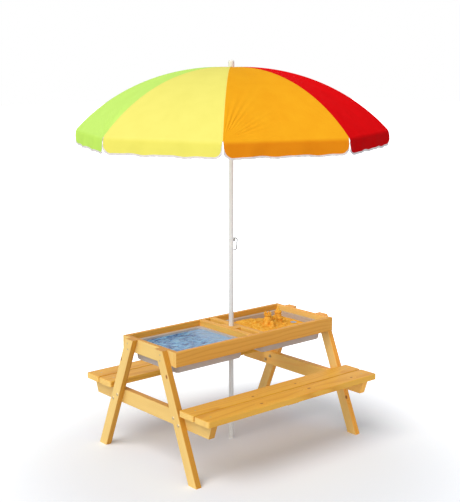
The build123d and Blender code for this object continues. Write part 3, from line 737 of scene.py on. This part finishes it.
def half_panel(number, side, colour_name, part):
    """The top or rim part of the half panel that lies beside one rib."""
    mesh = bmesh.new()
    panel = panel_of(number, side)
    # only the corners with deep folds need small squares
    tight = (panel, side) in tight_corners
    columns = TIGHT_OVER_STEPS if tight else OVER_STEPS
    if part == "top":
        down_steps = rows = TOP_STEPS
    else:
        down_steps = TIGHT_RIM_STEPS if tight else RIM_STEPS
        rows = down_steps + FLAP_STEPS
    bmesh.ops.create_grid(mesh, x_segments=rows, y_segments=columns, size=0.5)
    turn = Matrix.Rotation(rib_azimuth(number) + side * HALF, 4, "Z")
    flat = {}
    for vert in mesh.verts:
        row = round((vert.co.x + 0.5) * rows)
        over = (vert.co.y + 0.5) ** OVER_POWER
        share = row / down_steps
        if share > 1:
            fall = ((row - down_steps) / FLAP_STEPS) ** FLAP_POWER
            x, sideways, z, left = flap_point(fall, over, panel, side)
            width = half_width
        else:
            if part == "top":
                down = CUT * share ** TOP_POWER
            else:
                down = 1 - (1 - CUT) * (1 - share) ** RIM_POWER
            x, sideways, z, left = half_panel_point(down, over, panel, side)
            width = x * math.tan(HALF)
        flat[vert] = (width - sideways, left)
        # the rib lies on the other side of the panel's middle
        vert.co = turn @ Vector((x, -side * sideways, z))
    keep_flat(mesh, flat)
    face_towards(mesh, Vector((0, 0, 1)))
    bmesh.ops.solidify(mesh, geom=mesh.faces[:], thickness=CLOTH)
    hand = "left" if side > 0 else "right"
    name = "canopy_%s_%s_%s_%d" % (part, colour_name, hand, number + 1)
    return finished(mesh, name, cloth_materials[colour_name])


def cut_area(start, end, steps=400):
    """Flat area of a half panel between two shares of its way out."""
    area = 0.0
    for step in range(steps):
        out = rim_out * (start + (end - start) * (step + 0.5) / steps)
        angle = math.asin((out - arc_x) / ARC_RADIUS)
        area += out * math.tan(HALF) * rim_out * (end - start) / steps / math.cos(angle)
    return area


corner_loss = (1 - math.pi / 4) * FLAP_CORNER ** 2
flap_area = (half_width - FLAP_GAP) * FLAP_DEPTH - corner_loss
cut_angle = math.asin((rim_out * CUT - arc_x) / ARC_RADIUS)
top_length = (cut_angle - top_angle) * ARC_RADIUS
rim_length = panel_length - top_length + FLAP_DEPTH
# part of a half panel: its flat size, its flat area and how narrow it folds
canopy_parts = {
    "top": ((half_width * CUT, top_length), cut_area(0.0, CUT), 0.54),
    "rim": ((half_width, rim_length), cut_area(CUT, 1.0) + flap_area, 0.36),
}
for part, (flat, area, folded) in canopy_parts.items():
    print(part, "cut", [round(side, 4) for side in flat], "m, area", round(area, 4), "m2")

# %% [markdown]
# ## The white braid along the hem
#
# A narrow white braid is sewn along each flap's free edge, down its side and round its
# corner. Sewn cloth gathers, so the braid's outer edge waves more than its inner edge. It
# is a band of grid squares laid along the flap's outline. Thin polyester lets so much
# light through that its shadow is hardly seen, so the cloth casts none in this studio.

# %% Braid material and pieces
BRAID_OVERLAP = 0.002
BRAID_WIDTH = 0.0085
BRAID_THICKNESS = 0.0014
BRAID_OFFSET = 0.0008
BRAID_STEPS = 150
BRAID_ROWS = 4
BRAID_RIB = 0.0022
# the gathers: how far they go, and their spacing
GATHER_OUT = (0.0016, 0.034)
GATHER_DOWN = (0.0005, 0.031)


def braid_material():
    """White cotton braid with a crosswise rib."""
    material, tree, shader = new_material("white hem braid")
    ribs = stripes(tree, parts_of(tree, cloth_coordinates(tree))["X"], BRAID_RIB)
    tone = math_node(tree, "MULTIPLY_ADD", ribs, 0.5, 0.5)
    colours = [(0.0, screen_colour(202, 195, 193)), (0.6, screen_colour(224, 217, 215))]
    surface(tree, shader, ramp(tree, tone, colours), 0.9, 0.05)
    bumped(tree, shader, ribs, 0.3, 0.0003)
    return material


white_braid = braid_material()


def flap_edge(share):
    """A point of the flap's outline: from its end, drop, outward direction, length so far."""
    side_length = FLAP_DEPTH - FLAP_CORNER
    corner_length = FLAP_CORNER * math.pi / 2
    bottom_length = half_width - FLAP_GAP - FLAP_CORNER
    place = share * (side_length + corner_length + bottom_length)
    if place < side_length:
        return 0.0, place, -1.0, 0.0, place
    if place < side_length + corner_length:
        angle = (place - side_length) / FLAP_CORNER
        end = FLAP_CORNER * (1 - math.cos(angle))
        drop = side_length + FLAP_CORNER * math.sin(angle)
        return end, drop, -math.cos(angle), math.sin(angle), place
    end = FLAP_CORNER + place - side_length - corner_length
    return end, FLAP_DEPTH, 0.0, 1.0, place


def hem_braid(number, side):
    """The braid on the half flap beside one rib."""
    mesh = bmesh.new()
    bmesh.ops.create_grid(mesh, x_segments=BRAID_STEPS, y_segments=BRAID_ROWS, size=0.5)
    turn = Matrix.Rotation(rib_azimuth(number) + side * HALF, 4, "Z")
    panel = panel_of(number, side)
    free_width = half_width - FLAP_GAP
    (out_by, out_every), (down_by, down_every) = GATHER_OUT, GATHER_DOWN
    flat = {}
    for vert in mesh.verts:
        share, across = vert.co.x + 0.5, vert.co.y + 0.5
        end, drop, out_end, out_drop, place = flap_edge(share)
        reach = across * BRAID_WIDTH - BRAID_OVERLAP
        # the gathers grow towards the outer edge and end before the braid does
        gather = across * math.sin(min(1.0, share / 0.04) * math.pi / 2)
        gather *= math.sin(min(1.0, (1 - share) / 0.05) * math.pi / 2)
        over = min(1.0, max(0.0, end / free_width))
        x = flap_point(min(1.0, drop / FLAP_DEPTH), over, panel, side)[0]
        sideways = free_width - max(end + out_end * reach, -FLAP_GAP * 0.6)
        wave = math.sin(place / out_every * 2 * math.pi + 1.7 * math.sin(place * 31 + number))
        x += BRAID_OFFSET + gather * out_by * wave
        hang = hem_wave(free_width * (1 - over) * side, panel, max(0.0, end))
        low = drop + out_drop * reach + hang * drop / FLAP_DEPTH + BRAID_OFFSET
        low += down_by * gather * math.sin(place / down_every * 2 * math.pi + number)
        vert.co = turn @ Vector((x, -side * sideways, RIM_HEIGHT - low))
        flat[vert] = (place, across * BRAID_WIDTH)
    keep_flat(mesh, flat)
    outward = turn @ Vector((1, 0, 0))
    face_towards(mesh, outward)
    # a copy of the band lies behind it, and the two are joined along their edges
    behind = {vert: vert.co - outward * BRAID_THICKNESS for vert in mesh.verts}
    inner = bmesh.ops.duplicate(mesh, geom=mesh.verts[:] + mesh.edges[:] + mesh.faces[:])
    for vert, twin in inner["vert_map"].items():
        if vert in behind:
            twin.co = behind[vert]
    back = [item for item in inner["geom"] if isinstance(item, bmesh.types.BMFace)]
    bmesh.ops.reverse_faces(mesh, faces=back)
    bmesh.ops.bridge_loops(mesh, edges=[edge for edge in mesh.edges if edge.is_boundary])
    bmesh.ops.recalc_face_normals(mesh, faces=mesh.faces)
    name = "hem_braid_%s_%d" % ("left" if side > 0 else "right", number + 1)
    return finished(mesh, name, white_braid)


print("braid", round(BRAID_WIDTH * 1000, 1), "mm wide")

# %% Place the panels and their braid
half_panels = []
for number in range(RIBS):
    rib_name = "rib_%d" % (number + 1)
    azimuth = rib_azimuth(number)
    for side in (-1, 1):
        colour_name = panel_colours[panel_of(number, side) % len(panel_colours)]
        for part, (flat, area, folded) in canopy_parts.items():
            piece = half_panel(number, side, colour_name, part)
            hem = [hem_braid(number, side)] if part == "rim" else []
            for soft in [piece] + hem:
                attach(soft, rib_name)
                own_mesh(soft)
                soft.visible_shadow = False
            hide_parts("canopy_%s_panels" % colour_name)
            half_panels.append(piece)
print("canopy pieces", len(half_panels))

# %% [markdown]
# ## Water in the left tub
#
# Still water in a tub is a level surface with small ripples, and it ends where the wall
# is. A grid gives the surface its squares, which are drawn into the tub's rounded outline,
# and a few noises lift them by about a millimetre. The edge is then extruded down along the
# wall, so that the water is a solid body. Its colour darkens away from the wall, its ripples
# get painted shade and glints, and a net of thin bright lines stands for the light that the
# ripples gather on the tub's floor.

# %% Shape of a tub's fill
TUB_MIDDLE = 0.237
TUB_RIM_TOP = 0.496
TUB_HALF_LENGTH = 0.1797
TUB_HALF_WIDTH = 0.1447
TUB_CORNER = 0.0227
TUB_DRAFT = math.tan(math.radians(3))
FILL_FLOOR = 0.4225
FLOOR_EASE = 0.001


def into_tub(across, along, level):
    """A point of the square from -1 to 1, drawn into the tub's outline at a level."""
    inset = (TUB_RIM_TOP - level) * TUB_DRAFT
    half_x = TUB_HALF_LENGTH - inset
    half_y = TUB_HALF_WIDTH - inset
    corner = TUB_CORNER - inset
    x, y = across * half_x, along * half_y
    over_x = abs(x) - (half_x - corner)
    over_y = abs(y) - (half_y - corner)
    if over_x > 0 and over_y > 0:
        longest = max(over_x, over_y)
        scale = longest / math.hypot(over_x, over_y)
        x = math.copysign(half_x - corner + over_x * scale, x)
        y = math.copysign(half_y - corner + over_y * scale, y)
    return x, y


def tub_fill(name, middle_x, level, height_at, steps, material):
    """A body that fills a tub up to an uneven surface."""
    mesh = bmesh.new()
    bmesh.ops.create_grid(mesh, x_segments=steps[0], y_segments=steps[1], size=1.0)
    for vert in mesh.verts:
        across, along = vert.co.x, vert.co.y
        height = level + height_at(*into_tub(across, along, level))
        x, y = into_tub(across, along, height)
        vert.co = Vector((middle_x + x, y, height))
    rim = [edge for edge in mesh.edges if edge.is_boundary]
    wall = bmesh.ops.extrude_edge_only(mesh, edges=rim)
    for vert in [item for item in wall["geom"] if isinstance(item, bmesh.types.BMVert)]:
        inset = (vert.co.z - FILL_FLOOR) * TUB_DRAFT + FLOOR_EASE
        vert.co.x -= math.copysign(inset, vert.co.x - middle_x)
        vert.co.y -= math.copysign(inset, vert.co.y)
        vert.co.z = FILL_FLOOR
    floor_edges = [item for item in wall["geom"] if isinstance(item, bmesh.types.BMEdge)]
    bmesh.ops.edgeloop_fill(mesh, edges=floor_edges)
    bmesh.ops.recalc_face_normals(mesh, faces=mesh.faces)
    return finished(mesh, name, material)


print("tub inside", 2 * TUB_HALF_LENGTH, "by", 2 * TUB_HALF_WIDTH, "m at its rim")

# %% Water material and surface
WATER_LEVEL = 0.487


def water_material():
    """Blue water, darker away from the right wall, with bright lines of painted gathered light and
    painted shade and glints along the ripples.
    """
    material, tree, shader = new_material("tub water")
    place = object_coordinates(tree)
    warp = add_node(tree, "TexNoise", Vector=place, Scale=14.0)
    shift = mixed(tree, 0.035, place, warp.outputs["Color"], "ADD")
    longer = mapped(tree, shift, scale=(1.0, 1.7, 1.0))
    cells = add_node(tree, "TexVoronoi", Vector=longer, Scale=52.0)
    cells.feature = "DISTANCE_TO_EDGE"
    net = ramp(tree, cells.outputs["Distance"], [(0.0, WHITE), (0.09, BLACK)])
    # painted shade and glints: dark and light blue streaks along the ripples, from the noise that
    # also bumps the surface
    streak = noise_of(tree, mapped(tree, shift, scale=(26, 74, 26)), 1.0, 2.0)
    blues = [
        (0.36, screen_colour(20, 64, 130)),
        (0.48, screen_colour(58, 124, 190)),
        (0.64, screen_colour(118, 184, 226)),
    ]
    # the water is paler beside the right wall, along an uneven line
    uneven = noise_of(tree, place, 9.0, 2.0)
    wavy = math_node(tree, "MULTIPLY_ADD", uneven, 0.05, parts_of(tree, place)["X"])
    paler_by_right_wall = eased(tree, wavy, -0.165, -0.055, 0.0, 0.8)
    colour = mixed(tree, paler_by_right_wall, ramp(tree, streak, blues), screen_colour(146, 186, 234))
    lines = math_node(tree, "MULTIPLY", net, 0.4)
    colour = mixed(tree, lines, colour, screen_colour(176, 214, 236))
    surface(tree, shader, colour, 0.07, 0.3)
    feed(tree, 1.33, shader.inputs["IOR"])
    bumped(tree, shader, streak, 0.5, 0.004)
    return material


def water_lift(x, y):
    """Height of the ripples at a place."""
    still = min(1.0, min(TUB_HALF_WIDTH - abs(y), TUB_HALF_LENGTH - abs(x)) / 0.02)
    small = noise.noise(Vector((x * 55, y * 80, 0.3)))
    large = noise.noise(Vector((x * 19, y * 24, 4.1)))
    return (0.0007 * small + 0.0009 * large) * max(0.25, still)


tub_water = water_material()
water = tub_fill("tub_water", -TUB_MIDDLE, WATER_LEVEL, water_lift, (120, 96), tub_water)
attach(water, "left_tub")
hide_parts("water_fill")
print("water", len(water.data.polygons), "faces")

# %% [markdown]
# ## Sand in the right tub
#
# Damp play sand keeps the shape that a mould or a hand gives it. Its surface is a grid
# again, lifted into one wide heap with many small lumps. The moulded towers are turned
# shapes: a profile is spun round, and noise crumbles its skin. Towers and heap share one
# material, whose fine grains are noise too small to model.

# %% Sand material and heap
SAND_LEVEL = 0.475


def sand_material():
    """Golden damp sand with pale and dark grains."""
    material, tree, shader = new_material("play sand")
    place = object_coordinates(tree)
    clumps = noise_of(tree, place, 70.0, 4.0, 0.6)
    golds = [
        (0.3, screen_colour(226, 150, 46)),
        (0.5, screen_colour(244, 182, 70)),
        (0.7, screen_colour(252, 208, 106)),
    ]
    grains = noise_of(tree, place, 700.0, 2.0, 0.7)
    specks = ramp(tree, grains, [(0.34, (0.66, 0.52, 0.34, 1)), (0.5, WHITE)])
    colour = mixed(tree, 0.75, ramp(tree, clumps, golds), specks, "MULTIPLY")
    surface(tree, shader, colour, 0.95, 0.02)
    height = math_node(tree, "ADD", math_node(tree, "MULTIPLY", clumps, 2.0), grains)
    bumped(tree, shader, height, 0.5, 0.0012)
    return material


play_sand = sand_material()


def bump_at(x, y, centre_x, centre_y, radius, height, power=2.0):
    """Height of a rounded lump at a place."""
    reach = math.hypot(x - centre_x, y - centre_y) / radius
    return height * math.exp(-(reach ** power))


# each lump: middle in X and Y, radius, height and how steep its side is
HEAP_LUMPS = (
    (-0.035, -0.010, 0.100, 0.012, 3.0),
    (-0.120, 0.060, 0.110, 0.018, 2.5),
    (-0.110, -0.060, 0.070, 0.012, 2.0),
    (-0.010, 0.120, 0.080, 0.012, 2.0),
    (0.020, -0.100, 0.060, 0.006, 2.0),
    (0.014, 0.002, 0.034, 0.020, 2.5),
    (0.062, 0.052, 0.040, 0.012, 2.0),
    (0.088, 0.010, 0.015, 0.010, 2.0),
    (0.070, -0.022, 0.014, 0.009, 2.0),
    (0.104, -0.004, 0.012, 0.006, 2.0),
    (-0.085, 0.010, 0.020, 0.009, 2.0),
    (-0.100, 0.075, 0.022, 0.008, 2.0),
    (0.004, -0.040, 0.018, -0.012, 2.0),
)
PUDDLE = (0.149, 0.003)


def sand_lift(x, y):
    """Height of the sand above its lowest level."""
    to_wall = min(TUB_HALF_WIDTH - abs(y), TUB_HALF_LENGTH - abs(x))
    wall = max(0.0, min(1.0, to_wall / 0.016))
    lift = sum(bump_at(x, y, *lump) for lump in HEAP_LUMPS)
    lift -= bump_at(x, y, *PUDDLE, 0.017, 0.006)
    lift += 0.0035 * noise.noise(Vector((x * 38, y * 38, 1.0)))
    lift += 0.0022 * noise.noise(Vector((x * 90, y * 90, 7.0)))
    lift += 0.0009 * noise.noise(Vector((x * 260, y * 260, 3.0)))
    return lift * wall - 0.0015 + 0.003 * (1 - wall) * noise.noise(Vector((x * 30, y * 30, 9.0)))


heap = tub_fill("sand_heap", TUB_MIDDLE, SAND_LEVEL, sand_lift, (150, 120), play_sand)
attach(heap, "right_tub")
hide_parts("sand_fill")
print("heap", len(heap.data.polygons), "faces")

# %% Turned sand towers
TOWER_TURNS = 56
TOWER_GRID = 0.0022
CRUMBLE = 0.0011


def spun(profile, turns):
    """A closed solid from a profile of (radius, height) pairs turned round Z."""
    mesh = bmesh.new()
    verts = [mesh.verts.new((radius, 0, height)) for radius, height in profile]
    edges = [mesh.edges.new(pair) for pair in zip(verts, verts[1:])]
    bmesh.ops.spin(
        mesh, geom=verts + edges, cent=(0, 0, 0), axis=(0, 0, 1), angle=2 * math.pi,
        steps=turns, use_merge=True,
    )
    bmesh.ops.remove_doubles(mesh, verts=mesh.verts, dist=1e-5)
    holes = [edge for edge in mesh.edges if edge.is_boundary]
    if holes:
        bmesh.ops.holes_fill(mesh, edges=holes, sides=0)
    bmesh.ops.recalc_face_normals(mesh, faces=mesh.faces)
    return mesh


def fine_profile(points, spacing):
    """The same outline with points not further apart than a spacing."""
    fine = [points[0]]
    for (radius, height), end in zip(points, points[1:]):
        wider, higher = end[0] - radius, end[1] - height
        pieces = max(1, math.ceil(math.hypot(wider, higher) / spacing))
        for piece in range(1, pieces + 1):
            share = piece / pieces
            fine.append((radius + wider * share, height + higher * share))
    return fine


def crumble(mesh, amount, seed):
    """Push points in and out by noise, so that a moulded skin looks like packed grains."""
    for vert in mesh.verts:
        push = noise.noise(vert.co * 75 + Vector((seed, 0, 0)))
        push += 0.5 * noise.noise(vert.co * 210 + Vector((0, seed, 0)))
        away = Vector((vert.co.x, vert.co.y, 0.0))
        if away.length > 1e-5:
            vert.co += away.normalized() * amount * push
        vert.co.z += 0.5 * amount * push


# each tower: its name, its place in the tub and its outline of radius and height
ROUND_TOWER = (-0.037, -0.020)
towers = (
    ("round_tower", ROUND_TOWER, [
        (0.027, 0), (0.0225, 0.020), (0.0185, 0.042), (0.0145, 0.052), (0.0125, 0.055),
        (0.0165, 0.060), (0.0165, 0.068), (0.0120, 0.068), (0.0, 0.066),
    ]),
    ("ringed_tower", (0.056, 0.010), [
        (0.027, 0), (0.0215, 0.022), (0.0245, 0.026), (0.0235, 0.031), (0.0165, 0.034),
        (0.0140, 0.050), (0.0175, 0.054), (0.0160, 0.059), (0.0105, 0.062), (0.0050, 0.080),
        (0.0, 0.0855),
    ]),
    ("front_tower", (-0.036, -0.050), [
        (0.018, 0), (0.0135, 0.018), (0.0105, 0.032), (0.0070, 0.038), (0.0, 0.039),
    ]),
    ("low_cone", (-0.002, -0.004), [
        (0.021, 0), (0.0155, 0.020), (0.0120, 0.040), (0.0075, 0.048), (0.0, 0.050),
    ]),
    ("arm_cone", (0.028, 0.004), [
        (0.021, 0), (0.0165, 0.018), (0.0115, 0.036), (0.0060, 0.044), (0.0, 0.046),
    ]),
)
tower_base = SAND_LEVEL + 0.004
for index, (name, (offset_x, offset_y), outline) in enumerate(towers):
    mesh = spun(fine_profile(outline, TOWER_GRID), TOWER_TURNS)
    crumble(mesh, CRUMBLE, index * 5.3)
    for vert in mesh.verts:
        vert.co += Vector((TUB_MIDDLE + offset_x, offset_y, tower_base))
    tower = finished(mesh, "sand_" + name, play_sand)
    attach(tower, "right_tub")
print("towers", len(towers))

# %% Teeth of the round tower and loose lumps
TEETH = 6
TEETH_RADIUS = 0.0138
TEETH_HEIGHT = 0.0705
LUMPS = 34
teeth = bmesh.new()
size = Matrix.Diagonal((0.0055, 0.0078, 0.0085, 1))
for index in range(TEETH):
    angle = index * 2 * math.pi / TEETH + 0.4
    place = Matrix.Translation((
        TUB_MIDDLE + ROUND_TOWER[0] + TEETH_RADIUS * math.cos(angle),
        ROUND_TOWER[1] + TEETH_RADIUS * math.sin(angle),
        tower_base + TEETH_HEIGHT,
    ))
    turn = Matrix.Rotation(angle, 4, "Z")
    bmesh.ops.create_cube(teeth, size=1.0, matrix=place @ turn @ size)
bmesh.ops.bevel(
    teeth, geom=teeth.edges[:], offset=0.0014, segments=2, profile=0.5, affect="EDGES", material=-1
)
teeth_piece = finished(teeth, "sand_tower_teeth", play_sand)
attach(teeth_piece, "right_tub")

lumps = bmesh.new()
for index in range(LUMPS):
    x = 0.15 * noise.noise(Vector((index * 1.73, 0.2, 0.0))) * 1.6 - 0.01
    y = 0.12 * noise.noise(Vector((index * 2.11, 5.2, 0.0))) * 1.6 - 0.02
    size = 0.0028 + 0.0022 * abs(noise.noise(Vector((index * 0.91, 9.9, 0.0))))
    height = SAND_LEVEL + sand_lift(x, y)
    place = Matrix.Translation((TUB_MIDDLE + x, y, height))
    bmesh.ops.create_icosphere(lumps, subdivisions=2, radius=size, matrix=place)
for vert in lumps.verts:
    vert.co += Vector((1, 1, 1)) * 0.0009 * noise.noise(vert.co * 400)
lump_piece = finished(lumps, "sand_lumps", play_sand)
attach(lump_piece, "right_tub")
print("teeth and lumps made")

# %% [markdown]
# A little water has gathered in a hollow of the sand. It is a flat disc at one level, and
# the sand's own surface cuts its outline.

# %% Puddle
puddle_mesh = bmesh.new()
PUDDLE_SIZE = 0.015
PUDDLE_RISE = 0.0004
puddle_level = SAND_LEVEL + sand_lift(*PUDDLE) + PUDDLE_RISE
puddle_place = (TUB_MIDDLE + PUDDLE[0], PUDDLE[1], puddle_level)
bmesh.ops.create_cone(
    puddle_mesh, cap_ends=True, segments=48, radius1=PUDDLE_SIZE, radius2=PUDDLE_SIZE,
    depth=0.0024, matrix=Matrix.Translation(puddle_place),
)
puddle = finished(puddle_mesh, "sand_puddle", tub_water)
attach(puddle, "right_tub")
print("puddle at", [round(value, 3) for value in puddle_place])
